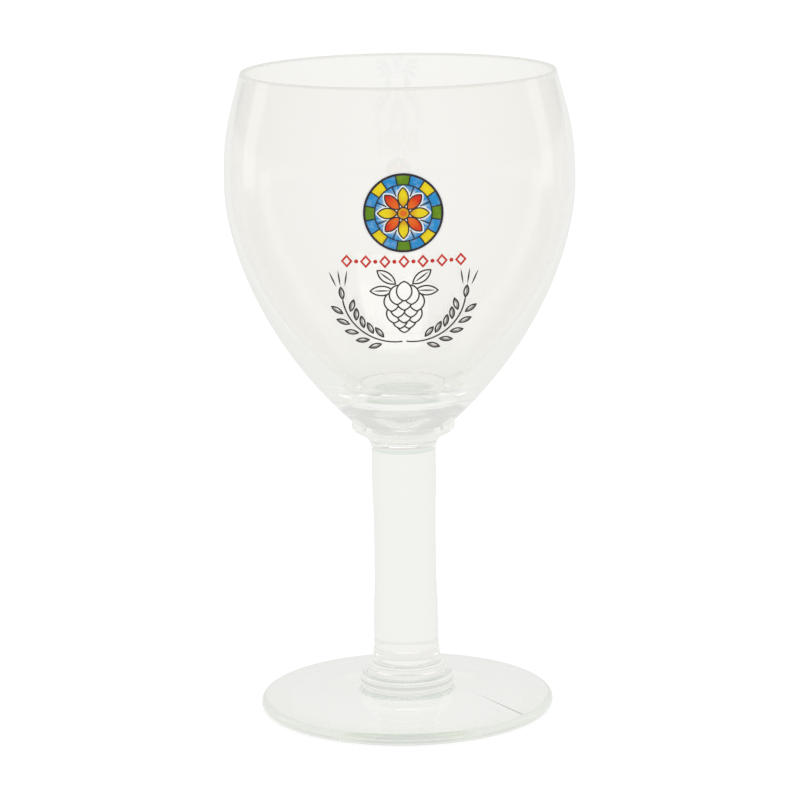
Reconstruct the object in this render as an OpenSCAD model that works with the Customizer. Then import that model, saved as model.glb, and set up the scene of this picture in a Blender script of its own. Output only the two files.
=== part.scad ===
// Chalice beer glass: a deep bowl with a drawn-in mouth and a thick solid base, a bead collar,
// a solid drawn stem, a stepped foot collar and a flat round foot, all fused glass to glass,
// with a decoration of fired enamels on the front of the bowl.
// The origin is on the table under the axis, +Z is up and the decoration faces -Y.

/* [Bowl] */
// Height of the bowl from its seat on the collar to the rim
bowl_h = 95.6; // [88:0.2:110]
// Height of the widest place above the bowl's seat
belly_h = 65.4; // [60:0.2:72]
// Outer diameter at the widest place
bowl_d = 94.3; // [86:0.1:104]
// Outer diameter just under the lip
mouth_d = 84.7; // [76:0.1:92]
// Thickness of the wall from the middle of the bowl up
wall = 1.5; // [1.2:0.1:2.4]
// Extra thickness that the wall gains towards the bowl's floor
heel_t = 4.6; // [2:0.2:6]
// Thickness of the fire-polished lip
lip_t = 1.3; // [1:0.1:2.2]
// Solid glass between the bowl's seat and its floor
floor_t = 9; // [7:0.2:12]
// Angle of the flare where the bowl leaves the collar, measured from upright
flare_angle = 47; // [42:1:52]
// Angle by which the lip leans inwards
lip_angle = 14.4; // [8:0.2:20]

/* [Collar] */
// Height of the collar between the stem and the bowl
collar_h = 7.8; // [7:0.1:10]
// Diameter of the bead at its widest
collar_d = 28.2; // [26:0.1:31]
// Diameter of the flat seat that the bowl is fused to
seat_d = 27.6; // [24:0.1:30]
// Radius of the hollow sweep from the stem up to the bead
sweep_r = 4.5; // [3.5:0.1:5]
// Radius of the bead's round edge
bead_r = 1.6; // [1.2:0.1:1.8]

/* [Stem] */
// Length of the stem from the foot collar to the bowl's collar
stem_l = 59.7; // [40:0.1:80]
// Diameter at the stem's top
stem_top_d = 17.5; // [15:0.1:20]
// Diameter at the stem's waist
stem_waist_d = 16.9; // [14.4:0.1:19.6]
// Diameter just above the knuckle at the lower end
stem_low_d = 17.7; // [15:0.1:18.2]
// Diameter of the knuckle
knuckle_d = 18.3; // [17:0.1:20]
// Height of the knuckle
knuckle_h = 4.6; // [3:0.1:7]
// Diameter of the stem's end face on the foot collar
stem_end_d = 16.6; // [14:0.1:17]

/* [Foot collar] */
// Diameter of the upper step
upper_step_d = 21.8; // [20.6:0.1:24]
// Height of the upper step
upper_step_h = 3.2; // [2.4:0.1:5]
// Diameter of the lower step
lower_step_d = 25.8; // [25:0.1:30]
// Height of the lower step
lower_step_h = 3.4; // [2.4:0.1:5]
// Radius of the steps' round shoulders
shoulder_r = 1.5; // [0.8:0.1:1.6]

/* [Foot] */
// Diameter of the foot
foot_d = 80.5; // [68:0.5:92]
// Thickness of the foot at its round edge
foot_edge_t = 3.3; // [2.4:0.1:5]
// Height of the foot's middle, where the foot collar sits
foot_h = 6.3; // [5.6:0.1:8]
// Diameter of the foot's raised middle at the top
hub_d = 24.2; // [22:0.1:25]
// Width of the flat ring that the glass stands on
ring_w = 4.6; // [3:0.1:8]
// Rise of the hollow under the foot at its middle
dome_h = 1.3; // [0.5:0.1:2.2]

/* [Medallion] */
// Diameter of the coloured medallion
medal_d = 20.6; // [16:0.2:22]
// Height of the medallion's middle above the bowl's seat
medal_up = 64; // [62:0.2:66]
// Number of petals in the medallion's flower
petals = 8; // [6:2:10]
// Number of panes in the medallion's border
panes = 16; // [8:4:20]
// Width of the dark line round the medallion
frame_t = 0.6; // [0.3:0.05:0.8]
// Width of the dark lines between the colours
lead_t = 0.34; // [0.2:0.02:0.5]
// Width of the white halo round the petals and round the medallion
halo_t = 0.35; // [0.2:0.05:0.4]

/* [Red chain] */
// Width of the chain of lozenges and dots under the medallion
chain_w = 32.4; // [24:0.2:34]
// Height of the chain
chain_h = 3.6; // [2.4:0.1:4.4]
// Gap between the medallion's halo and the chain
chain_gap = 0.35; // [0.2:0.05:0.8]
// Number of lozenges in the chain
lozenges = 7; // [5:2:9]

/* [Hop and barley] */
// Gap between the chain and the tips of the awns
hop_gap = 0.7; // [0.5:0.1:2]
// Width of the hop cone
hop_w = 10.4; // [8:0.2:11]
// Height of the hop cone
hop_h = 14.6; // [12:0.2:16]
// Width of the drawn lines
line_t = 0.4; // [0.2:0.02:0.5]
// Length of one barley grain
grain_l = 3.9; // [3:0.1:4.2]
// Width of one barley grain
grain_w = 1.6; // [1.2:0.1:1.8]
// Number of pairs of grains in an ear
grain_pairs = 5; // [3:1:6]

/* [Hidden] */
$fn = 96;

// Pieces of a curve on the long side of the bowl, on its upper side and on a small rounding
side_steps = 16;
mouth_steps = 8;
round_steps = 6;

// Where the pieces meet, from the table up
foot_collar_z = foot_h;
stem_z = foot_collar_z + lower_step_h + upper_step_h;
collar_z = stem_z + stem_l;
bowl_z = collar_z + collar_h;
glass_h = bowl_z + bowl_h;
medal_z = bowl_z + medal_up;

// How far the bowl's outline runs straight from the seat, from the belly and from the lip
flare_pull = 35;
belly_low_pull = 14.2;
belly_high_pull = 15;
lip_pull = 11.5;
// Where along the lower side the wall turns into the floor, and how flat the floor runs out
floor_start_share = 0.16;
floor_reach_share = 0.62;
floor_turn_share = 0.3;

// Slope of the collar's sweep, measured from upright, and the turn under each step's edge
sweep_angle = 60;
tuck_angle = 50;

// Length of the stem's ends over which it swells from its waist, and of the flat top of the foot
stem_swell = 22;
foot_slope_d = 33;
foot_slope_h = 4.75;
hub_pull = 3;
dome_pull = 18;

// Fired enamel stands this much above the glass, and the flat drawings reach past the bowl
enamel_t = 0.1;
overrun = 1;

// The medallion's border, flower and heart
border_w = 2.2;
petal_l = 5.5;
petal_w = 3;
heart_d = 3.4;
heart_dot_d = 1.5;
notch_share = 0.62;
pane_colours = ["green", "blue", "yellow", "blue"];
petal_colours = ["yellow", "red"];

// The chain's lozenges are this much of their pitch wide, their windows and dots this much of them
lozenge_share = 0.62;
window_share = 0.56;
dot_share = 0.22;

// The hop cone's leaves from the top row down: across and up, as shares of half its size
bract_shares = [[0, 0.56], [-0.36, 0.42], [0.36, 0.42], [0, 0.2], [-0.62, 0.16], [0.62, 0.16],
    [-0.32, -0.08], [0.32, -0.08], [0, -0.3], [-0.5, -0.3], [0.5, -0.3], [-0.22, -0.52],
    [0.22, -0.52], [0, -0.68]];
// A leaf of the cone is this long and wide, as shares of the cone's height and width
bract_l_share = 0.4;
bract_w_share = 0.42;
// Two pairs of leaves behind the cone's top: where they start and how far they lean out
hop_leaf_l = 6.4;
hop_leaf_w = 3;
hop_leaf_y = 4.4;
hop_leaf_gap = 2.6;
hop_leaf_angles = [52, 92];
vein_share = 0.72;

// An ear's stalk is part of a circle: its radius, the middle of it, and the angle it spans
stalk_r = 13.6;
stalk_x = 2.4;
stalk_y = 3.2;
stalk_from_angle = 262;
stalk_to_angle = 352;
ear_from_angle = 286;
grain_lean_angle = 36;
grain_gap = 0.35;
awns = 3;
awn_l = 4.6;
awn_spread_angle = 16;
shade_t = 0.45;

// The chain hangs under the medallion, and the hop and the barley under the chain
ear_top = stalk_y + stalk_r * sin(stalk_to_angle) + (grain_l + awn_l) * cos(stalk_to_angle);
chain_z = medal_z - medal_d / 2 - halo_t - chain_gap - chain_h / 2;
hop_z = chain_z - chain_h / 2 - hop_gap - ear_top;

// Points of a cubic curve, with the first left out when it is already there
function curve_at(p, t) = pow(1 - t, 3) * p[0] + 3 * t * pow(1 - t, 2) * p[1]
    + 3 * t * t * (1 - t) * p[2] + pow(t, 3) * p[3];
function curve_way(p, t) = 3 * pow(1 - t, 2) * (p[1] - p[0]) + 6 * t * (1 - t) * (p[2] - p[1])
    + 3 * t * t * (p[3] - p[2]);
function curve(p, n, first = 0) = [for (i = [first : n]) curve_at(p, i / n)];
function arc(centre, r, from, to, n) =
    [for (i = [0 : n]) let (a = from + (to - from) * i / n) centre + r * [cos(a), sin(a)]];
function right_of(way) = [way[1], -way[0]] / norm(way);
function reversed(list) = [for (i = [len(list) - 1 : -1 : 0]) list[i]];

// The outside of the bowl: from the seat to the belly, and from the belly to the lip
lip_out = [mouth_d / 2, glass_h - lip_t / 2 * (1 - sin(lip_angle))];
belly = [bowl_d / 2, bowl_z + belly_h];
side = [[seat_d / 2, bowl_z],
    [seat_d / 2 + flare_pull * sin(flare_angle), bowl_z + flare_pull * cos(flare_angle)],
    belly - [0, belly_low_pull], belly];
mouth = [belly, belly + [0, belly_high_pull],
    lip_out + lip_pull * [sin(lip_angle), -cos(lip_angle)], lip_out];
outside = concat(curve(side, side_steps), curve(mouth, mouth_steps, 1));
outside_way = concat([for (i = [0 : side_steps]) curve_way(side, i / side_steps)],
    [for (i = [1 : mouth_steps]) curve_way(mouth, i / mouth_steps)]);

// The inside follows it: a wall that thickens towards the floor, then a rounded floor
function inner_at(t) = curve_at(side, t)
    - (wall + heel_t * pow(1 - t, 3)) * right_of(curve_way(side, t));
floor_edge = inner_at(floor_start_share);
floor_way = curve_way(side, floor_start_share) / norm(curve_way(side, floor_start_share));
floor_drop = floor_edge[1] - bowl_z - floor_t;
floor_curve = [[0, bowl_z + floor_t], [floor_edge[0] * floor_reach_share, bowl_z + floor_t],
    floor_edge - floor_way * floor_drop * (1 - floor_turn_share) / floor_way[1], floor_edge];
inside_low = [for (i = [1 : side_steps])
    inner_at(floor_start_share + (1 - floor_start_share) * i / side_steps)];
inside_high = [for (i = [1 : mouth_steps]) let (t = i / mouth_steps)
    curve_at(mouth, t) - (wall + (lip_t - wall) * t) * right_of(curve_way(mouth, t))];
inside = concat(curve(floor_curve, round_steps), inside_low, inside_high);
lip_centre = lip_out - lip_t / 2 * [cos(lip_angle), sin(lip_angle)];
lip = arc(lip_centre, lip_t / 2, lip_angle, lip_angle + 180, round_steps);

module bowl()
    color([0.88, 0.92, 0.9, 0.4])
        rotate_extrude()
            polygon(concat([[0, bowl_z]], outside, [for (i = [1 : round_steps - 1]) lip[i]],
                reversed(inside)));

// The collar sweeps out of the stem into a bead, which tucks in under the bowl's seat
sweep_out = sweep_r * (1 - cos(sweep_angle));
bead_out = bead_r * (1 - cos(sweep_angle));
sweep_gap = (collar_d - stem_top_d) / 2 - sweep_out - bead_out;
sweep_rise = sweep_r * sin(sweep_angle) + sweep_gap / tan(sweep_angle);
bead_centre = [collar_d / 2 - bead_r, collar_z + sweep_rise + bead_r * sin(sweep_angle)];

module collar()
    color([0.84, 0.9, 0.87, 0.45])
        rotate_extrude()
            polygon(concat([[0, collar_z]],
                arc([stem_top_d / 2 + sweep_r, collar_z], sweep_r, 180, 180 - sweep_angle,
                    round_steps),
                arc(bead_centre, bead_r, -sweep_angle, 0, round_steps),
                [[seat_d / 2, bowl_z], [0, bowl_z]]));

// The stem is drawn slightly thinner at its waist and ends below in a knuckle
stem_bottom = [stem_low_d / 2, stem_z + knuckle_h];
stem_waist = [stem_waist_d / 2, (stem_z + knuckle_h + collar_z) / 2];
stem_top = [stem_top_d / 2, collar_z];
knuckle = [knuckle_d / 2, stem_z + knuckle_h / 2];

module stem()
    color([0.9, 0.92, 0.9, 0.35])
        rotate_extrude()
            polygon(concat([[0, stem_z], [stem_end_d / 2, stem_z]],
                curve([[stem_end_d / 2, stem_z], [knuckle_d / 2, stem_z],
                    knuckle - [0, knuckle_h / 4], knuckle], round_steps, 1),
                curve([knuckle, knuckle + [0, knuckle_h / 4],
                    stem_bottom - [0, knuckle_h / 4], stem_bottom], round_steps, 1),
                curve([stem_bottom, stem_bottom + [0, stem_swell],
                    stem_waist - [0, stem_swell], stem_waist], mouth_steps, 1),
                curve([stem_waist, stem_waist + [0, stem_swell],
                    stem_top - [0, stem_swell], stem_top], mouth_steps, 1),
                [[0, collar_z]]));

// A step is a short drum with a round shoulder, tucked in a little at its foot
function step(d, z, h) = concat(
    arc([d / 2 - shoulder_r, z + shoulder_r * sin(tuck_angle)], shoulder_r, -tuck_angle, 0,
        round_steps),
    arc([d / 2 - shoulder_r, z + h - shoulder_r], shoulder_r, 0, 90, round_steps));

module foot_collar()
    color([0.78, 0.84, 0.78, 0.5])
        rotate_extrude()
            polygon(concat([[0, foot_collar_z]],
                step(lower_step_d, foot_collar_z, lower_step_h),
                step(upper_step_d, foot_collar_z + lower_step_h, upper_step_h),
                [[0, stem_z]]));

// The foot: a thin plate with a round edge, a raised middle and a slight hollow underneath
edge_r = foot_edge_t / 2;
ring_in = foot_d / 2 - edge_r - ring_w;
slope_end = [foot_slope_d / 2, foot_slope_h];
hub = [hub_d / 2, foot_h];

module foot()
    color([0.82, 0.87, 0.83, 0.45])
        rotate_extrude()
            polygon(concat([[ring_in, 0]],
                arc([foot_d / 2 - edge_r, edge_r], edge_r, -90, 90, 2 * round_steps),
                [slope_end],
                curve([slope_end, slope_end - [hub_pull, 0], hub - [0, hub_pull / 2], hub],
                    round_steps, 1),
                [[0, foot_h]],
                curve([[0, dome_h], [dome_pull, dome_h], [ring_in - dome_pull / 2, 0], [ring_in, 0]],
                    mouth_steps)));

// A thin skin over the outside of the bowl, which the flat drawings are cut from
module skin()
    rotate_extrude()
        polygon(concat(
            [for (i = [0 : len(outside) - 1]) outside[i] + enamel_t * right_of(outside_way[i])],
            reversed(outside)));

module fired(z)
    intersection() {
        translate([0, 0, z])
            rotate([90, 0, 0])
                linear_extrude(bowl_d / 2 + overrun)
                    children();
        skin();
    }

// A pointed leaf made by two circles, standing up along Y. grow moves its whole edge outwards.
module leaf(l, w, grow = 0) {
    r = (l * l + w * w) / (4 * w);
    intersection() {
        translate([r - w / 2, 0]) circle(r = r + grow);
        translate([w / 2 - r, 0]) circle(r = r + grow);
    }
}

module ring(d, t)
    difference() {
        circle(d = d);
        circle(d = d - 2 * t);
    }

// The medallion: a border of panes round a flower on a blue ground
ground_d = medal_d - 2 * frame_t - 2 * border_w;
petal_y = ground_d / 2 - lead_t - halo_t - petal_l / 2;

module flower(grow, which = "all")
    for (i = [0 : petals - 1])
        if (which == "all" || petal_colours[i % len(petal_colours)] == which)
            rotate(360 * i / petals)
                translate([0, petal_y])
                    leaf(petal_l, petal_w, grow);

module lead_lines() {
    ring(medal_d, frame_t);
    ring(ground_d, lead_t);
    ring(heart_d, lead_t);
    for (i = [0 : panes - 1])
        rotate(360 * (i + 0.5) / panes)
            translate([-lead_t / 2, ground_d / 2 - lead_t / 2])
                square([lead_t, border_w + frame_t]);
    difference() {
        flower(0);
        flower(-lead_t);
        circle(d = heart_d);
    }
    ground_leads();
}

// Short leads run outwards from the notches of the flower
module ground_leads()
    for (i = [0 : petals - 1])
        rotate(360 * (i + 0.5) / petals)
            translate([-lead_t / 2, notch_share * ground_d / 2])
                square([lead_t, (1 - notch_share) * ground_d / 2 - lead_t / 2]);

module border_panes(which)
    difference() {
        ring(medal_d - 2 * frame_t, border_w);
        for (i = [0 : panes - 1])
            rotate(360 * (i + 0.5) / panes)
                if (pane_colours[i % len(pane_colours)] != which)
                    rotate(360 / panes * -0.5) wedge();
        for (i = [0 : panes - 1])
            rotate(360 * (i + 0.5) / panes)
                translate([-lead_t / 2, 0])
                    square([lead_t, medal_d / 2]);
    }

// One pane's slice of the circle, centred on +Y
module wedge() {
    half = 180 / panes;
    polygon([[0, 0], medal_d * [sin(half), cos(half)], medal_d * [-sin(half), cos(half)]]);
}

module key_line_drawing() lead_lines();

module blue_drawing() {
    border_panes("blue");
    difference() {
        circle(d = ground_d - 2 * lead_t);
        flower(halo_t);
        circle(d = heart_d);
        ground_leads();
    }
}

module white_drawing() {
    ring(medal_d + 2 * halo_t, halo_t);
    difference() {
        intersection() {
            flower(halo_t);
            circle(d = ground_d - 2 * lead_t);
        }
        flower(0);
        circle(d = heart_d);
        ground_leads();
    }
}

module yellow_drawing() {
    border_panes("yellow");
    difference() {
        flower(-lead_t, "yellow");
        circle(d = heart_d);
    }
    ring(heart_d - 2 * lead_t, (heart_d - heart_dot_d) / 2 - lead_t);
}

module red_drawing() {
    difference() {
        flower(-lead_t, "red");
        circle(d = heart_d);
    }
    circle(d = heart_dot_d);
}

module print_key_line() color([0.2, 0.18, 0.2]) fired(medal_z) key_line_drawing();
module print_blue() color([0.16, 0.56, 0.82]) fired(medal_z) blue_drawing();
module print_white() color([0.93, 0.96, 0.97]) fired(medal_z) white_drawing();
module print_yellow() color([0.95, 0.84, 0.1]) fired(medal_z) yellow_drawing();
module print_red() color([0.86, 0.22, 0.13]) fired(medal_z) red_drawing();
module print_green() color([0.28, 0.55, 0.16]) fired(medal_z) border_panes("green");

// The chain: open lozenges with a dot in the middle of each gap
pitch = chain_w / (lozenges - 1 + lozenge_share);

module lozenge(w, h)
    polygon([[w / 2, 0], [0, h / 2], [-w / 2, 0], [0, -h / 2]]);

module chain_drawing() {
    for (i = [0 : lozenges - 1])
        translate([(i - (lozenges - 1) / 2) * pitch, 0])
            difference() {
                lozenge(pitch * lozenge_share, chain_h);
                lozenge(pitch * lozenge_share * window_share, chain_h * window_share);
            }
    for (i = [0 : lozenges - 2])
        translate([(i - lozenges / 2 + 1) * pitch, 0])
            circle(d = pitch * dot_share);
}

module print_red_chain() color([0.85, 0.2, 0.16]) fired(chain_z) chain_drawing();

// The hop cone: each leaf is hidden where a leaf of a higher row lies over it
module bract(i, grow = 0)
    translate([bract_shares[i][0] * hop_w / 2, bract_shares[i][1] * hop_h / 2])
        leaf(bract_l_share * hop_h, bract_w_share * hop_w, grow);

module hop_lines()
    for (i = [0 : len(bract_shares) - 1])
        difference() {
            bract(i);
            bract(i, -line_t);
            for (j = [0 : 1 : i - 1])
                bract(j);
        }

// The leaves behind the cone, each with a vein down its middle
module hop_leaf_place()
    for (s = [-1, 1], lean = hop_leaf_angles)
        translate([0, hop_leaf_y])
            rotate(-s * lean)
                translate([0, hop_leaf_gap + hop_leaf_l / 2])
                    children();

module hop_leaves()
    difference() {
        hop_leaf_place() {
            difference() {
                leaf(hop_leaf_l, hop_leaf_w);
                leaf(hop_leaf_l, hop_leaf_w, -line_t);
            }
            leaf(hop_leaf_l * vein_share, line_t);
        }
        for (i = [0 : len(bract_shares) - 1])
            bract(i);
    }

// One ear of barley on a curved stalk, on the right of the cone
function stalk_point(a) = [stalk_x + stalk_r * cos(a), stalk_y + stalk_r * sin(a)];
function grain_angle(k) = ear_from_angle + (stalk_to_angle - ear_from_angle) * k / grain_pairs;

module grain_place(a, s)
    translate(stalk_point(a))
        rotate(a - s * grain_lean_angle)
            translate([s * (grain_gap + grain_w / 2), grain_l / 2])
                children();

module each_grain() {
    for (k = [0 : grain_pairs - 1], s = [-1, 1])
        grain_place(grain_angle(k), s)
            children();
    translate(stalk_point(stalk_to_angle))
        rotate(stalk_to_angle)
            translate([0, grain_l / 2])
                children();
}

module grain_line()
    difference() {
        leaf(grain_l, grain_w);
        leaf(grain_l, grain_w, -line_t);
    }

module awn_lines()
    for (i = [0 : awns - 1])
        translate(stalk_point(stalk_to_angle))
            rotate(stalk_to_angle + (i - (awns - 1) / 2) * awn_spread_angle)
                translate([0, grain_l + awn_l / 2])
                    leaf(awn_l, line_t);

// The stalk, from its cut end to the tip of the ear
module stalk_line()
    difference() {
        translate([stalk_x, stalk_y])
            intersection() {
                ring(2 * stalk_r + line_t, line_t);
                stalk_slice();
            }
        each_grain()
            leaf(grain_l, grain_w);
    }

module stalk_slice() {
    middle = (stalk_from_angle + stalk_to_angle) / 2;
    reach = 2 * stalk_r;
    polygon([[0, 0], reach * [cos(stalk_from_angle), sin(stalk_from_angle)],
        reach * [cos(middle), sin(middle)], reach * [cos(stalk_to_angle), sin(stalk_to_angle)]]);
}

module ear_lines() {
    each_grain()
        grain_line();
    awn_lines();
    stalk_line();
}

module print_outline() color([0.24, 0.2, 0.18]) fired(hop_z) {
    hop_lines();
    hop_leaves();
    ear_lines();
    mirror([1, 0]) ear_lines();
}

// Grey shading along one edge of every grain
module ear_shades()
    each_grain()
        difference() {
            leaf(grain_l, grain_w, -line_t);
            translate([-shade_t, 0]) leaf(grain_l, grain_w, -line_t);
        }

module print_grey() color([0.6, 0.58, 0.55]) fired(hop_z) {
    ear_shades();
    mirror([1, 0]) ear_shades();
}

bowl();
collar();
stem();
foot_collar();
foot();
print_key_line();
print_blue();
print_white();
print_yellow();
print_red();
print_green();
print_red_chain();
print_outline();
print_grey();
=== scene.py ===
import math

import bmesh
import bpy
from mathutils import Matrix, Vector


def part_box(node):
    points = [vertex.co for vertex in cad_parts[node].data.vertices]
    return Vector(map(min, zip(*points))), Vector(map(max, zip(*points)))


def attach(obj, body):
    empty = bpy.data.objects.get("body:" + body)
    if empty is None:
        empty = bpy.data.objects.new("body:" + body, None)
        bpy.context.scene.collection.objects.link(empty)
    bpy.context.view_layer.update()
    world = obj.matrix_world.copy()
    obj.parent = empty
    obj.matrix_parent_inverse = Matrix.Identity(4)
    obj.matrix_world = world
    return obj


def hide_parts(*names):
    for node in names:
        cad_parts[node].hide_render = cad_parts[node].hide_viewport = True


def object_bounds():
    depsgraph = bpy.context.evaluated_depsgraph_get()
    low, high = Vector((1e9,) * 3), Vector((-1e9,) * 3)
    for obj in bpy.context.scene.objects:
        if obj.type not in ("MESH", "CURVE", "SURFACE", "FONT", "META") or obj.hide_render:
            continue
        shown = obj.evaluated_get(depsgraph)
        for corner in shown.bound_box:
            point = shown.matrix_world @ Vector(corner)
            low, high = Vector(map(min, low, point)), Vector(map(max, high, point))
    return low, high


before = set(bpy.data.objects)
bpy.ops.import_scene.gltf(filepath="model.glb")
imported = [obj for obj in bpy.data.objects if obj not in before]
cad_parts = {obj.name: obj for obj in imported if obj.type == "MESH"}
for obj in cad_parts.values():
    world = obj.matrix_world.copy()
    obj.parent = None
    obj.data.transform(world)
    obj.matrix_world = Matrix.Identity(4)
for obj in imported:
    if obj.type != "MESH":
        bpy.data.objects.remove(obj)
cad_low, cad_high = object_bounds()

# The view of the photograph: a long lens, a little above the rim, looking slightly down.
# The glass leans a hair to the left in it, and its front is turned a degree to the right.
glass_height = cad_high.z
view_distance = 5.147 * glass_height
view_height = 1.568 * glass_height
view_down = math.radians(11.85)
view_lean = math.radians(-0.86)
view_turn = math.radians(-1.0)
view_off = math.radians(0.05)
sensor_width = 36.0
focal_length_px, frame_width_px = 3401, 800
camera_data = bpy.data.cameras.new("view")
camera_data.sensor_width = sensor_width
camera_data.lens = focal_length_px / frame_width_px * sensor_width
camera_data.clip_start, camera_data.clip_end = 0.01, 20
camera = bpy.data.objects.new("view", camera_data)
camera.location = (view_distance * math.sin(view_turn),
                   -view_distance * math.cos(view_turn), view_height)
camera.rotation_euler = (math.radians(90) - view_down, 0, view_turn + view_off)
bpy.context.scene.collection.objects.link(camera)
bpy.context.scene.camera = camera
bpy.context.view_layer.update()
camera.matrix_world = camera.matrix_world @ Matrix.Rotation(view_lean, 4, "Z")
bpy.context.scene.view_settings.view_transform = "Standard"

# The table and the studio. The floor and the room are white to the eye and a little greyer where
# glass shows or mirrors them, and the ceiling is duller than the walls.
room_light = 0.9
room_through = 0.93
room_glance, floor_glance = 0.93, 0.86
ceiling_start, ceiling_end, ceiling_level = 0.35, 0.9, 0.86
floor_half = 9.0
floor_drop = 0.0002
floor_glow, floor_paper = 0.85, 0.25


def feed(tree, socket, value):
    """Give a node's socket a plain value or another node's output."""
    if isinstance(value, bpy.types.NodeSocket):
        tree.links.new(value, socket)
    else:
        socket.default_value = value


def arithmetic(tree, kind, *values):
    """The output of one node of arithmetic on plain values or outputs."""
    made = tree.nodes.new("ShaderNodeMath")
    made.operation = kind
    for socket, value in zip(made.inputs, values):
        feed(tree, socket, value)
    return made.outputs[0]


def soft_step(tree, value, start, end, before, after):
    """A level that goes over softly from before to after while the value goes from start to end."""
    made = tree.nodes.new("ShaderNodeMapRange")
    made.interpolation_type = "SMOOTHSTEP"
    for label, given_value in (("Value", value), ("From Min", start), ("From Max", end),
                               ("To Min", before), ("To Max", after)):
        feed(tree, made.inputs[label], given_value)
    return made.outputs["Result"]


def white_surround(tree, glance):
    """The light's path, and how bright a white surround looks to the eye and through glass.

    glance is its brightness where glass mirrors it.
    """
    path = tree.nodes.new("ShaderNodeLightPath")
    through = arithmetic(tree, "MULTIPLY", path.outputs["Is Transmission Ray"], room_through)
    straight = arithmetic(tree, "MAXIMUM", path.outputs["Is Camera Ray"], through)
    glancing = arithmetic(tree, "MULTIPLY", path.outputs["Is Glossy Ray"], glance)
    return path, arithmetic(tree, "MAXIMUM", straight, glancing)


world = bpy.data.worlds.new("studio")
world.use_nodes = True
bpy.context.scene.world = world
tree = world.node_tree
tree.nodes.clear()
path, level = white_surround(tree, room_glance)
direction = tree.nodes.new("ShaderNodeTexCoord")
upward = tree.nodes.new("ShaderNodeSeparateXYZ")
tree.links.new(direction.outputs["Generated"], upward.inputs[0])
ceiling = soft_step(tree, upward.outputs["Z"], ceiling_start, ceiling_end, 1.0, ceiling_level)
shown = arithmetic(tree, "MAXIMUM", arithmetic(tree, "MULTIPLY", level, ceiling),
                   path.outputs["Is Camera Ray"])
lighting = arithmetic(tree, "MULTIPLY", path.outputs["Is Diffuse Ray"], room_light)
background = tree.nodes.new("ShaderNodeBackground")
tree.links.new(arithmetic(tree, "MAXIMUM", shown, lighting), background.inputs["Strength"])
world_out = tree.nodes.new("ShaderNodeOutputWorld")
tree.links.new(background.outputs[0], world_out.inputs["Surface"])

mesh = bpy.data.meshes.new("floor")
mesh.from_pydata([(x * floor_half, y * floor_half, -floor_drop)
                  for x, y in ((-1, -1), (1, -1), (1, 1), (-1, 1))], [], [(0, 1, 2, 3)])
floor = bpy.data.objects.new("floor", mesh)
bpy.context.scene.collection.objects.link(floor)
white_floor = bpy.data.materials.new("white_floor")
white_floor.use_nodes = True
tree = white_floor.node_tree
tree.nodes.clear()
path, level = white_surround(tree, floor_glance)
glow = tree.nodes.new("ShaderNodeEmission")
glow.inputs["Strength"].default_value = floor_glow
paper = tree.nodes.new("ShaderNodeBsdfDiffuse")
paper.inputs["Color"].default_value = (floor_paper, floor_paper, floor_paper, 1)
lit_paper = tree.nodes.new("ShaderNodeAddShader")
tree.links.new(glow.outputs[0], lit_paper.inputs[0])
tree.links.new(paper.outputs[0], lit_paper.inputs[1])
backdrop = tree.nodes.new("ShaderNodeEmission")
tree.links.new(level, backdrop.inputs["Strength"])
by_glass = arithmetic(tree, "MAXIMUM", path.outputs["Is Transmission Ray"],
                      path.outputs["Is Glossy Ray"])
seen_floor = tree.nodes.new("ShaderNodeMixShader")
tree.links.new(by_glass, seen_floor.inputs[0])
tree.links.new(lit_paper.outputs[0], seen_floor.inputs[1])
tree.links.new(backdrop.outputs[0], seen_floor.inputs[2])
floor_out = tree.nodes.new("ShaderNodeOutputMaterial")
tree.links.new(seen_floor.outputs[0], floor_out.inputs["Surface"])
mesh.materials.append(white_floor)


def softbox(name, place, width, height, power, aim=(0, 0, 0.1)):
    """A soft lamp that faces the glass."""
    data = bpy.data.lights.new(name, "AREA")
    data.shape = "RECTANGLE"
    data.size, data.size_y, data.energy = width, height, power
    lamp = bpy.data.objects.new(name, data)
    lamp.location = place
    lamp.rotation_euler = (Vector(aim) - Vector(place)).to_track_quat("-Z", "Y").to_euler()
    bpy.context.scene.collection.objects.link(lamp)


softbox("left_softbox", (-0.9, 0.43, 0.4), 0.27, 1.0, 0.28)
softbox("right_softbox", (0.95, 0.35, 0.4), 0.25, 1.0, 0.26)
softbox("top_softbox", (0.1, -0.5, 1.3), 1.2, 1.2, 4.6)

# Clear soda-lime glass with the faint grey-green of beer glasses, in every one of the five pieces.
# It was shaped hot, so its surface is never quite flat. It is painted deeper in colour edge-on: partly
# its own green through more glass, partly painted shade for the dark outline that glass shows.
# The greenish colour of the painted glow that glass gives where rays are no longer followed.
lost_ray_glow_green = (0.815, 0.85, 0.79, 1)
glass_ior = 1.52
edge_blend = 0.1
ripple_height = 0.0004
mirrored_often, wandered_far = 4.5, 9.5


def effect_group(name, taken, put_out):
    """An effect that several materials share: the group, its inputs' node and its outputs' node."""
    made = bpy.data.node_groups.new(name, "ShaderNodeTree")
    for in_out, sockets in (("INPUT", taken), ("OUTPUT", put_out)):
        for label, kind in sockets:
            made.interface.new_socket(name=label, in_out=in_out, socket_type="NodeSocket" + kind)
    return made, made.nodes.new("NodeGroupInput"), made.nodes.new("NodeGroupOutput")


def waves_over(tree, place, scale, detail):
    """Soft noise with about scale waves in a metre."""
    made = tree.nodes.new("ShaderNodeTexNoise")
    for label, value in (("Vector", place), ("Scale", scale), ("Detail", detail)):
        feed(tree, made.inputs[label], value)
    return made.outputs["Fac"]


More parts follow.
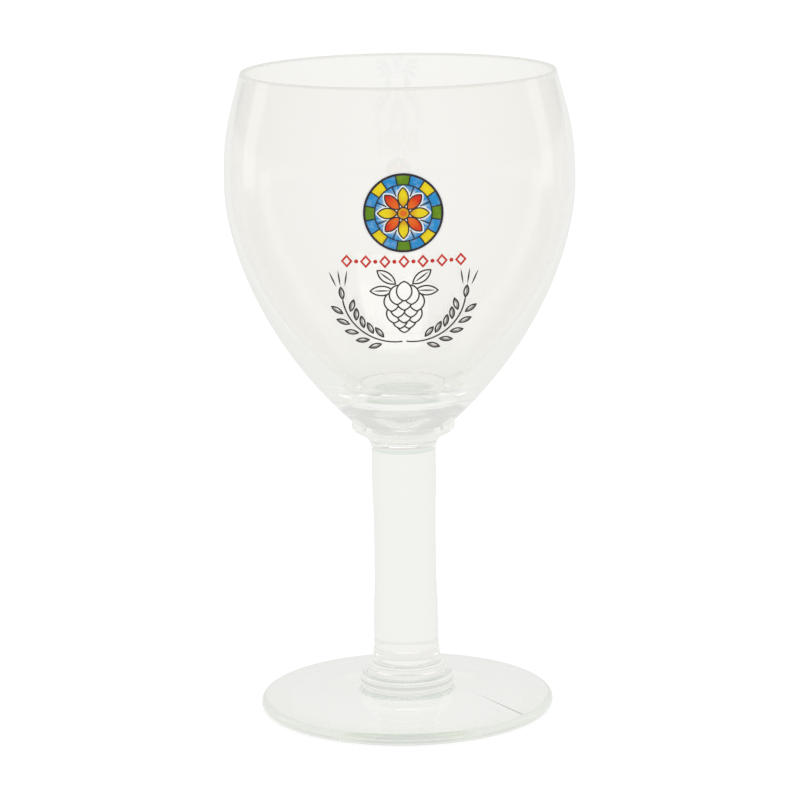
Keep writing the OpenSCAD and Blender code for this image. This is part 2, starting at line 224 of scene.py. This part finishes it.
# The ripple's height. It can be pulled out in a direction, as the glass was.
ripple_effect, given, result = effect_group(
    "glass_ripple", (("Place", "Vector"), ("Pull", "Vector"), ("Waves", "Float")),
    (("Height", "Float"),))
pulled = ripple_effect.nodes.new("ShaderNodeVectorMath")
pulled.operation = "MULTIPLY"
ripple_effect.links.new(given.outputs["Place"], pulled.inputs[0])
ripple_effect.links.new(given.outputs["Pull"], pulled.inputs[1])
ripple = waves_over(ripple_effect, pulled.outputs[0], given.outputs["Waves"], 1.0)
ripple_effect.links.new(ripple, result.inputs["Height"])


def mixed(tree, factor, first, second, kind="MIX"):
    """A mix of two colours, plain ones or other nodes' outputs."""
    made = tree.nodes.new("ShaderNodeMix")
    made.data_type = "RGBA"
    made.blend_type = kind
    for label, value in (("Factor", factor), ("A", first), ("B", second)):
        feed(tree, made.inputs[label], value)
    return made.outputs["Result"]


def height_in(tree):
    """How high above the table a point of the glass lies."""
    where = tree.nodes.new("ShaderNodeTexCoord")
    height = tree.nodes.new("ShaderNodeSeparateXYZ")
    tree.links.new(where.outputs["Object"], height.inputs[0])
    return height.outputs["Z"]


def pale_glass(name, face_on, edge_on, ripple, waves, drawn_out=1.0, lost_ray_glow=lost_ray_glow_green,
               thick=None, thick_low=0, thick_high=1):
    """Glass with one colour face on and another edge-on, partly painted shade, a faint ripple, and a
    painted glow where rays are no longer followed.

    The ripple is drawn out up and down by drawn_out, as in glass that was pulled. Where thick is
    given, the colour face on goes over to it from the height thick_high down to thick_low.
    """
    made = bpy.data.materials.new(name)
    made.use_nodes = True
    tree = made.node_tree
    shader = tree.nodes["Principled BSDF"]
    shader.inputs["Roughness"].default_value = 0.0
    shader.inputs["IOR"].default_value = glass_ior
    shader.inputs["Transmission Weight"].default_value = 1.0
    seen_flat = (*face_on, 1)
    if thick:
        thickness = soft_step(tree, height_in(tree), thick_high, thick_low, 0, 1)
        seen_flat = mixed(tree, thickness, seen_flat, (*thick, 1))
    slant = tree.nodes.new("ShaderNodeLayerWeight")
    slant.inputs["Blend"].default_value = edge_blend
    body = mixed(tree, slant.outputs["Facing"], seen_flat, (*edge_on, 1))
    tree.links.new(body, shader.inputs["Base Color"])
    where = tree.nodes.new("ShaderNodeTexCoord")
    rippled = tree.nodes.new("ShaderNodeGroup")
    rippled.node_tree = ripple_effect
    tree.links.new(where.outputs["Object"], rippled.inputs["Place"])
    rippled.inputs["Pull"].default_value = (1, 1, 1 / drawn_out)
    rippled.inputs["Waves"].default_value = waves
    bump = tree.nodes.new("ShaderNodeBump")
    bump.inputs["Strength"].default_value = ripple
    bump.inputs["Distance"].default_value = ripple_height
    tree.links.new(rippled.outputs["Height"], bump.inputs["Height"])
    tree.links.new(bump.outputs[0], shader.inputs["Normal"])
    # Where a ray has been mirrored to and fro inside the glass, or has gone so far that it is no longer
    # followed, the glass glows with a painted greenish light in place of the light that would have come
    # a long way through it.
    trip = tree.nodes.new("ShaderNodeLightPath")
    mirrored = arithmetic(tree, "GREATER_THAN", trip.outputs["Glossy Depth"], mirrored_often)
    wandered = arithmetic(tree, "GREATER_THAN", trip.outputs["Ray Depth"], wandered_far)
    lost = arithmetic(tree, "MAXIMUM", mirrored, wandered)
    tree.links.new(mixed(tree, lost, (0, 0, 0, 1), lost_ray_glow), shader.inputs["Emission Color"])
    shader.inputs["Emission Strength"].default_value = 1.0
    made.cycles.emission_sampling = "NONE"
    return made


# The pieces are fused hot, so the faces where they meet are glass against glass, and light passes
# them unbent. Each piece is still a closed body of its own, so there are two faces at every joint.
crossed_often = 4.5


def joint_look(name, from_outside, from_inside):
    """A clear face where a piece is fused to its neighbour.

    from_outside is its colour to light that is followed into the piece, and from_inside its
    colour to light that is followed out of it.
    """
    made = bpy.data.materials.new(name)
    made.use_nodes = True
    tree = made.node_tree
    tree.nodes.clear()
    clear = tree.nodes.new("ShaderNodeBsdfTransparent")
    facing = tree.nodes.new("ShaderNodeNewGeometry")
    passed = mixed(tree, facing.outputs["Backfacing"], (*from_outside, 1), (*from_inside, 1))
    tree.links.new(passed, clear.inputs["Color"])
    # Where light has crossed more of these faces than is followed, the face glows with a painted
    # greenish light instead.
    joint_glow = tree.nodes.new("ShaderNodeEmission")
    joint_glow.inputs["Color"].default_value = lost_ray_glow_green
    trip = tree.nodes.new("ShaderNodeLightPath")
    far_gone = arithmetic(tree, "GREATER_THAN", trip.outputs["Transparent Depth"], crossed_often)
    fused = tree.nodes.new("ShaderNodeMixShader")
    tree.links.new(far_gone, fused.inputs[0])
    tree.links.new(clear.outputs[0], fused.inputs[1])
    tree.links.new(joint_glow.outputs[0], fused.inputs[2])
    joint_out = tree.nodes.new("ShaderNodeOutputMaterial")
    tree.links.new(fused.outputs[0], joint_out.inputs["Surface"])
    made.cycles.emission_sampling = "NONE"
    return made


fused_joint = joint_look("fused_joint", (1, 1, 1), (1, 1, 1))

# The bowl: blown in a mould, with a drawn-in mouth, a thin wall that thickens downwards, and a
# solid base. Its lip is cut and then melted round in a flame.
turns = 240
same_place = 1e-6


def point_on(points, t):
    """A point of a cubic curve in radius and height, for t from 0 at its start to 1 at its end."""
    s = 1 - t
    return s**3 * points[0] + 3 * t * s * s * points[1] + 3 * t * t * s * points[2] + t**3 * points[3]


def way_on(points, t):
    """The way in which a cubic curve runs on at t."""
    s = 1 - t
    return 3 * s * s * (points[1] - points[0]) + 6 * t * s * (points[2] - points[1]) \
        + 3 * t * t * (points[3] - points[2])


def right_of(way):
    """The direction at right angles to a way, on its right side."""
    return Vector((way[1], -way[0])).normalized()


def curve(points, steps, first=0):
    """Points of a cubic curve, one at each step."""
    points = [Vector(p) for p in points]
    return [point_on(points, i / steps) for i in range(first, steps + 1)]


def arc(centre, radius, start, end, steps):
    """Points of an arc in radius and height, with its angles in degrees."""
    made = []
    for i in range(steps + 1):
        angle = math.radians(start + (end - start) * i / steps)
        made.append(Vector(centre) + radius * Vector((math.cos(angle), math.sin(angle))))
    return made


def turned(name, outline, glass, joints=(), joint=fused_joint):
    """A closed body turned round the axis.

    Each of the joints is the radius and height of a fused disc.
    """
    work = bmesh.new()
    rings = []
    for r, z in outline:
        if r < same_place:
            rings.append([work.verts.new((0, 0, z))])
        else:
            angles = [math.tau * k / turns for k in range(turns)]
            rings.append([work.verts.new((r * math.cos(a), r * math.sin(a), z)) for a in angles])
    closed = len(rings[0]) > 1
    pairs = list(zip(rings, rings[1:] + rings[:1])) if closed else list(zip(rings, rings[1:]))
    for low, high in pairs:
        for k in range(turns):
            n = (k + 1) % turns
            corners = [low[k % len(low)], low[n % len(low)], high[n % len(high)], high[k % len(high)]]
            corners = [v for i, v in enumerate(corners) if v not in corners[:i]]
            if len(corners) > 2:
                work.faces.new(corners)
    bmesh.ops.recalc_face_normals(work, faces=work.faces)
    for face in work.faces:
        face.smooth = True
        for radius, height in joints:
            if all(abs(v.co.z - height) < same_place and v.co.xy.length < radius + same_place
                   for v in face.verts):
                face.material_index = 1
                face.smooth = False
    if work.calc_volume(signed=True) < 0:
        bmesh.ops.reverse_faces(work, faces=work.faces)
    for edge in work.edges:
        kinds = {face.material_index for face in edge.link_faces}
        if len(kinds) > 1:
            edge.smooth = False
    made = bpy.data.meshes.new(name)
    work.to_mesh(made)
    work.free()
    made.materials.append(glass)
    if joints:
        made.materials.append(joint)
    piece = bpy.data.objects.new(name, made)
    bpy.context.scene.collection.objects.link(piece)
    return piece


seat_z, rim_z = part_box("bowl")[0].z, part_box("bowl")[1].z
seat = Vector((0.0138, seat_z))
belly = Vector((0.04715, seat_z + 0.0654))
lip_r, lip_t, lip_angle = 0.04235, 0.0013, 14.4
lip_lean = math.radians(lip_angle)
wall, heel, floor_t = 0.0015, 0.0046, 0.009
flare = math.radians(47)
seat_pull, belly_low_pull, belly_high_pull, lip_pull = 0.035, 0.0142, 0.015, 0.0115
side = [seat, seat + seat_pull * Vector((math.sin(flare), math.cos(flare))),
        belly - Vector((0, belly_low_pull)), belly]
lip_out = Vector((lip_r, rim_z - lip_t / 2 * (1 - math.sin(lip_lean))))
mouth = [belly, belly + Vector((0, belly_high_pull)),
         lip_out + lip_pull * Vector((math.sin(lip_lean), -math.cos(lip_lean))), lip_out]


def inner_side(t):
    """The point of the inside that faces the side's point at t. The wall is thickest at t 0."""
    return point_on(side, t) - (wall + heel * (1 - t)**3) * right_of(way_on(side, t))


side_steps, mouth_steps, lip_steps, floor_steps = 72, 32, 16, 28
outside = curve(side, side_steps) + curve(mouth, mouth_steps, 1)
lip_middle = lip_out - lip_t / 2 * Vector((math.cos(lip_lean), math.sin(lip_lean)))
lip = arc(lip_middle, lip_t / 2, lip_angle, lip_angle + 180, lip_steps)[1:-1]
floor_start = 0.16
floor_flat_share, floor_turn_share = 0.62, 0.7
edge = inner_side(floor_start)
along = way_on(side, floor_start).normalized()
drop = edge.y - seat_z - floor_t
floor_curve = [Vector((0, seat_z + floor_t)), Vector((edge.x * floor_flat_share, seat_z + floor_t)),
               edge - along * drop * floor_turn_share / along.y, edge]
inside = curve(floor_curve, floor_steps)
inside += [inner_side(floor_start + (1 - floor_start) * i / side_steps)
           for i in range(1, side_steps + 1)]
for i in range(1, mouth_steps + 1):
    t = i / mouth_steps
    inside.append(point_on(mouth, t) - (wall + (lip_t - wall) * t) * right_of(way_on(mouth, t)))
thick_base_h = 0.03
blown_glass = pale_glass("blown_glass", (0.996, 0.990, 0.968), (0.68, 0.67, 0.61), 0.04, 60,
                         lost_ray_glow=(0.87, 0.885, 0.845, 1), thick=(0.965, 0.967, 0.943),
                         thick_low=seat_z, thick_high=seat_z + thick_base_h)


def lay_over(glass, mask, colour):
    """Give a glass another colour where the mask is 1."""
    tree = glass.node_tree
    base_colour = tree.nodes["Principled BSDF"].inputs["Base Color"]
    tree.links.new(mixed(tree, mask, base_colour.links[0].from_socket, colour), base_colour)


# The lip, thicker after the flame, gathers less light than the wall. It is painted darker in a thin
# band, as painted shade for the thin line it shows as.
lip_shade_colour = (0.83, 0.82, 0.78, 1)
lip_begins, lip_full = rim_z - 0.7 * lip_t, rim_z - 0.3 * lip_t
at_lip = soft_step(blown_glass.node_tree, height_in(blown_glass.node_tree), lip_begins, lip_full, 0, 1)
lay_over(blown_glass, at_lip, lip_shade_colour)
bowl = turned("bowl_glass", [Vector((0, seat_z))] + outside + lip + inside[::-1], blown_glass, [seat])
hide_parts("bowl")
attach(bowl, "root")

# The collar: a bead of hot glass run round between the bowl and the stem. It sweeps out of the stem
# and is fused to both on flat faces.
collar_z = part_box("collar")[0].z
bead_r, bead_round, sweep_r = 0.0141, 0.0016, 0.0045
sweep_steps, bead_steps = 16, 12
neck = Vector((0.00875, collar_z))
slope = math.radians(60)
sweep_gap = bead_r - neck.x - (sweep_r + bead_round) * (1 - math.cos(slope))
sweep_rise = sweep_r * math.sin(slope) + sweep_gap / math.tan(slope)
bead_middle = (bead_r - bead_round, collar_z + sweep_rise + bead_round * math.sin(slope))
pressed_glass = pale_glass("pressed_glass", (1.0, 0.995, 0.972), (0.86, 0.85, 0.78), 0.018, 90,
                           lost_ray_glow=(0.80, 0.81, 0.71, 1))
collar = turned("collar_bead", [Vector((0, collar_z))]
                + arc(neck + Vector((sweep_r, 0)), sweep_r, 180, 120, sweep_steps)
                + arc(bead_middle, bead_round, -60, 0, bead_steps)
                + [seat, Vector((0, seat_z))], pressed_glass, [neck, seat])
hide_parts("collar")
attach(collar, "root")

# The stem: solid glass, drawn out hot, so its ripple runs lengthwise. It is a little thinner at its
# waist, swells into a knuckle at its lower end, and is fused at both ends.
stem_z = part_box("stem")[0].z
knuckle_h, knuckle_r, low_r, waist_r = 0.0046, 0.00915, 0.00885, 0.00845
knuckle_steps, shaft_steps = 14, 24
swell = Vector((0, 0.022))
foot_end = Vector((0.0083, stem_z))
knuckle = Vector((knuckle_r, stem_z + knuckle_h / 2))
quarter = Vector((0, knuckle_h / 4))
low = Vector((low_r, stem_z + knuckle_h))
waist = Vector((waist_r, (stem_z + knuckle_h + collar_z) / 2))
drawn_glass = pale_glass("drawn_glass", (0.965, 0.96, 0.93), (0.72, 0.71, 0.67), 0.09, 160, 14.0)
# Light that has gone lengthwise through the stem is green for it, seen down from the bowl.
stem_joint = joint_look("stem_joint", (0.83, 0.88, 0.855), (1, 1, 1))
stem = turned("stem_glass", [Vector((0, stem_z)), foot_end]
              + curve([foot_end, (knuckle_r, stem_z), knuckle - quarter, knuckle], knuckle_steps, 1)
              + curve([knuckle, knuckle + quarter, low - quarter, low], knuckle_steps, 1)
              + curve([low, low + swell, waist - swell, waist], shaft_steps, 1)
              + curve([waist, waist + swell, neck - swell, neck], shaft_steps, 1)
              + [Vector((0, collar_z))], drawn_glass, [foot_end, neck], stem_joint)
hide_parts("stem")
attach(stem, "root")

# The foot collar: a wafer of glass with two round-shouldered steps, pressed in a mould and fused
# between the stem and the foot.
step_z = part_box("foot_collar")[0].z
lower_r, upper_r, lower_h, upper_h, shoulder = 0.0129, 0.0109, 0.0034, 0.0032, 0.0015
tuck = 50
tuck_steps, shoulder_steps = 10, 14
hub = Vector((0.0121, step_z))


def step(radius, z, height):
    """The outline of one round-shouldered step, tucked in at its foot."""
    low_middle = (radius - shoulder, z + shoulder * math.sin(math.radians(tuck)))
    high_middle = (radius - shoulder, z + height - shoulder)
    return arc(low_middle, shoulder, -tuck, 0, tuck_steps) \
        + arc(high_middle, shoulder, 0, 90, shoulder_steps)


foot_collar = turned("foot_collar_steps", [Vector((0, step_z)), hub]
                     + step(lower_r, step_z, lower_h) + step(upper_r, step_z + lower_h, upper_h)
                     + [foot_end, Vector((0, stem_z))], pressed_glass, [hub, foot_end])
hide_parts("foot_collar")
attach(foot_collar, "root")

# The foot: a pressed round plate with a fire-polished edge, raised towards the middle and hollowed
# a little underneath, so that it stands on a narrow ring.
foot_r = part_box("foot")[1].x
edge_t, ring_w, dome_h = 0.0033, 0.0046, 0.0013
ring_in = foot_r - edge_t / 2 - ring_w
slope_end = Vector((0.0165, 0.00475))
dome_pull, ring_pull, slope_pull, hub_pull = 0.018, 0.009, 0.003, 0.0015
hollow_steps, edge_steps, rise_steps = 32, 24, 16
foot_glass = pale_glass("foot_glass", (1.0, 0.996, 0.972), (0.92, 0.915, 0.86), 0.010, 90,
                        lost_ray_glow=(0.88, 0.90, 0.85, 1))
tree = foot_glass.node_tree
height = height_in(tree)

# The ring that it stands on is scuffed dull by tables.
scuff_h, scuff_roughness = 0.00008, 0.15
scuff = tree.nodes.new("ShaderNodeMapRange")
scuff.inputs["From Min"].default_value = scuff_h
scuff.inputs["From Max"].default_value = 0.0
scuff.inputs["To Max"].default_value = scuff_roughness
tree.links.new(height, scuff.inputs["Value"])
tree.links.new(scuff.outputs["Result"], tree.nodes["Principled BSDF"].inputs["Roughness"])

# The shears that cut the hot gob leave a short crease on the top of the plate. Its near-black line is
# painted shade, laid into the glass's colour.
crease_from, crease_to = Vector((0.0159, -0.003, 0)), Vector((0.0306, -0.0234, 0))
crease_w, crease_fade_share = 0.00036, 0.75
crease_low, crease_high = 0.0022, 0.0026
crease_shade_colour = (0.035, 0.03, 0.025, 1)
crease_l = (crease_to - crease_from).length
crease_way = (crease_to - crease_from).normalized()
where = tree.nodes.new("ShaderNodeTexCoord")
turned_way = tree.nodes.new("ShaderNodeVectorRotate")
turned_way.rotation_type = "Z_AXIS"
turned_way.inputs["Center"].default_value = crease_from
turned_way.inputs["Angle"].default_value = -math.atan2(crease_way.y, crease_way.x)
tree.links.new(where.outputs["Object"], turned_way.inputs["Vector"])
from_start = tree.nodes.new("ShaderNodeVectorMath")
from_start.operation = "SUBTRACT"
from_start.inputs[1].default_value = crease_from
tree.links.new(turned_way.outputs[0], from_start.inputs[0])
crease_place = tree.nodes.new("ShaderNodeSeparateXYZ")
tree.links.new(from_start.outputs[0], crease_place.inputs[0])
along_it = crease_place.outputs["X"]
off_it = arithmetic(tree, "ABSOLUTE", crease_place.outputs["Y"])
crease = soft_step(tree, off_it, 0, crease_w, 1, 0)
for value, start, end, before, after in ((along_it, 0, crease_l * crease_fade_share, 0, 1),
                                         (along_it, crease_l, crease_l + crease_w, 1, 0),
                                         (height, crease_low, crease_high, 0, 1)):
    crease = arithmetic(tree, "MULTIPLY", crease, soft_step(tree, value, start, end, before, after))
lay_over(foot_glass, crease, crease_shade_colour)

# The round edge is painted a little greener and darker than the plate, with a crisp line where it
# begins: partly the glass's deeper colour where it is thick, partly painted shade for the dark rim the
# edge shows.
edge_tint_and_shade = (0.88, 0.895, 0.855, 1)
edge_begins, edge_full = foot_r - 0.5 * edge_t, foot_r - 0.4 * edge_t
flattened = tree.nodes.new("ShaderNodeVectorMath")
flattened.operation = "MULTIPLY"
flattened.inputs[1].default_value = (1, 1, 0)
tree.links.new(where.outputs["Object"], flattened.inputs[0])
from_axis = tree.nodes.new("ShaderNodeVectorMath")
from_axis.operation = "LENGTH"
tree.links.new(flattened.outputs[0], from_axis.inputs[0])
at_edge = soft_step(tree, from_axis.outputs["Value"], edge_begins, edge_full, 0, 1)
lay_over(foot_glass, at_edge, edge_tint_and_shade)

# Light that has gone lengthwise through the stem is green for it, also seen up from the foot.
foot_joint = joint_look("foot_joint", (1, 1, 1), (0.90, 0.935, 0.92))
foot = turned("foot_plate", [Vector((0, dome_h))]
              + curve([(0, dome_h), (dome_pull, dome_h), (ring_in - ring_pull, 0), (ring_in, 0)],
                      hollow_steps, 1)
              + arc((foot_r - edge_t / 2, edge_t / 2), edge_t / 2, -90, 90, edge_steps)
              + curve([slope_end, slope_end - Vector((slope_pull, 0)), hub - Vector((0, hub_pull)), hub],
                      rise_steps)
              + [Vector((0, step_z))], foot_glass, [hub], foot_joint)
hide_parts("foot")
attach(foot, "root")

# The decoration: ceramic enamels printed through a screen, one colour at a time, and fired on.
# Each colour's drawing comes from its solid, and is laid on the true curve of the bowl here.
enamel_t, enamel_gap = 0.00008, 0.00001
heart_z = (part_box("print_blue")[0].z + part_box("print_blue")[1].z) / 2


def bowl_radius(z):
    """The radius of the bowl's outside at a height."""
    for a, b in zip(outside, outside[1:]):
        if a.y <= z <= b.y:
            return a.x + (b.x - a.x) * (z - a.y) / (b.y - a.y)
    return outside[-1].x


# Fired ink: a squeegee leaves it a little uneven, the kiln melts it to a soft gloss, and in the
# medallion each colour is shaded from the middle outwards with short strokes.
strokes_round, strokes_out, stroke_scale, stroke_detail, stroke_reach = 9, 180, 1.6, 2, 0.005
patch_waves, patch_detail, patch_low, patch_high = 700, 3, 0.42, 0.72
speck_waves, speck_detail, speck_low, speck_high, speck_dark = 9000, 1, 0.3, 0.6, 0.9
ink_roughness, patch_roughness, ink_specular = 0.3, 0.14, 0.25
speck_relief, relief_strength, relief_height = 0.6, 0.35, 0.00002
ink_effect, given, result = effect_group(
    "fired_ink", (("Place", "Vector"), ("Deep", "Color"), ("Thin", "Color"), ("Heart", "Float"),
                  ("Shade From", "Float"), ("Shade To", "Float"), ("Patches", "Float")),
    (("Colour", "Color"), ("Gloss", "Float"), ("Relief", "Float")))
tree = ink_effect
place = given.outputs["Place"]
part_way = tree.nodes.new("ShaderNodeSeparateXYZ")
tree.links.new(place, part_way.inputs[0])
across = part_way.outputs["X"]
upwards = arithmetic(tree, "SUBTRACT", part_way.outputs["Z"], given.outputs["Heart"])
squares = [arithmetic(tree, "MULTIPLY", value, value) for value in (across, upwards)]
outwards = arithmetic(tree, "SQRT", arithmetic(tree, "ADD", *squares))
angle = arithmetic(tree, "ARCTAN2", across, upwards)
round_about = tree.nodes.new("ShaderNodeCombineXYZ")
tree.links.new(arithmetic(tree, "MULTIPLY", angle, strokes_round), round_about.inputs["X"])
tree.links.new(arithmetic(tree, "MULTIPLY", outwards, strokes_out), round_about.inputs["Y"])
strokes = waves_over(tree, round_about.outputs[0], stroke_scale, stroke_detail)
feathered = arithmetic(tree, "MULTIPLY_ADD", arithmetic(tree, "SUBTRACT", strokes, 0.5),
                       stroke_reach, outwards)
shaded = soft_step(tree, feathered, given.outputs["Shade From"], given.outputs["Shade To"], 1, 0)
patches = waves_over(tree, place, patch_waves, patch_detail)
patch = soft_step(tree, patches, patch_low, patch_high, 0, 1)
patchy = arithmetic(tree, "MULTIPLY", patch, given.outputs["Patches"])
laid = mixed(tree, arithmetic(tree, "MAXIMUM", shaded, patchy), given.outputs["Deep"],
             given.outputs["Thin"])
specks = waves_over(tree, place, speck_waves, speck_detail)
speck = soft_step(tree, specks, speck_low, speck_high, speck_dark, 1)
tree.links.new(mixed(tree, 1, laid, speck, "MULTIPLY"), result.inputs["Colour"])
tree.links.new(arithmetic(tree, "MULTIPLY_ADD", patch, patch_roughness, ink_roughness),
               result.inputs["Gloss"])
tree.links.new(arithmetic(tree, "MULTIPLY_ADD", speck, speck_relief, patch), result.inputs["Relief"])


def enamel(node, deep, thin, patches, shade_from=-0.02, shade_to=-0.01):
    """A thin fired skin, from the node's own drawing, pressed against the bowl's outside.

    The thin colour fills the medallion's heart out to shade_from and is gone at shade_to. Below
    zero there is none.
    """
    work = bmesh.new()
    work.from_mesh(bpy.data.objects[node].data)
    bmesh.ops.remove_doubles(work, verts=work.verts, dist=same_place)
    lift = work.verts.layers.float.new("lift")
    radii = {v: math.hypot(v.co.x, v.co.y) - bowl_radius(v.co.z) for v in work.verts}
    middle = (max(radii.values()) + min(radii.values())) / 2
    for v in work.verts:
        v[lift] = 1.0 if radii[v] > middle else 0.0
    for v in work.verts:
        reach = bowl_radius(v.co.z) + enamel_gap + v[lift] * enamel_t
        v.co.y = -math.sqrt(max(reach * reach - v.co.x * v.co.x, 0))
    made = bpy.data.meshes.new(node + "_skin")
    work.to_mesh(made)
    work.free()
    made.shade_smooth()
    piece = bpy.data.objects.new(node + "_skin", made)
    bpy.context.scene.collection.objects.link(piece)
    paint = bpy.data.materials.new(node + "_enamel")
    paint.use_nodes = True
    tree = paint.node_tree
    shader = tree.nodes["Principled BSDF"]
    shader.inputs["Specular IOR Level"].default_value = ink_specular
    where = tree.nodes.new("ShaderNodeTexCoord")
    ink = tree.nodes.new("ShaderNodeGroup")
    ink.node_tree = ink_effect
    tree.links.new(where.outputs["Object"], ink.inputs["Place"])
    ink.inputs["Deep"].default_value = (*deep, 1)
    ink.inputs["Thin"].default_value = (*thin, 1)
    ink.inputs["Heart"].default_value = heart_z
    ink.inputs["Shade From"].default_value = shade_from
    ink.inputs["Shade To"].default_value = shade_to
    ink.inputs["Patches"].default_value = patches
    tree.links.new(ink.outputs["Colour"], shader.inputs["Base Color"])
    tree.links.new(ink.outputs["Gloss"], shader.inputs["Roughness"])
    relief = tree.nodes.new("ShaderNodeBump")
    relief.inputs["Strength"].default_value = relief_strength
    relief.inputs["Distance"].default_value = relief_height
    tree.links.new(ink.outputs["Relief"], relief.inputs["Height"])
    tree.links.new(relief.outputs[0], shader.inputs["Normal"])
    made.materials.append(paint)
    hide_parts(node)
    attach(piece, "root")


enamel("print_key_line", (0.024, 0.016, 0.024), (0.075, 0.06, 0.075), 0.5)
enamel("print_blue", (0.014, 0.27, 0.62), (0.80, 0.90, 0.93), 0.16, 0.0042, 0.0072)
enamel("print_white", (0.88, 0.90, 0.90), (0.72, 0.76, 0.78), 0.4)
enamel("print_yellow", (0.88, 0.70, 0.006), (0.72, 0.33, 0.004), 0.22, 0.0014, 0.0046)
enamel("print_red", (0.70, 0.010, 0.003), (0.84, 0.15, 0.008), 0.35, 0.0026, 0.0064)
enamel("print_green", (0.115, 0.26, 0.003), (0.36, 0.45, 0.01), 0.3)
enamel("print_red_chain", (0.62, 0.022, 0.014), (0.80, 0.16, 0.11), 0.55)
enamel("print_outline", (0.034, 0.024, 0.019), (0.12, 0.10, 0.09), 0.55)
enamel("print_grey", (0.30, 0.28, 0.255), (0.62, 0.60, 0.57), 0.8)
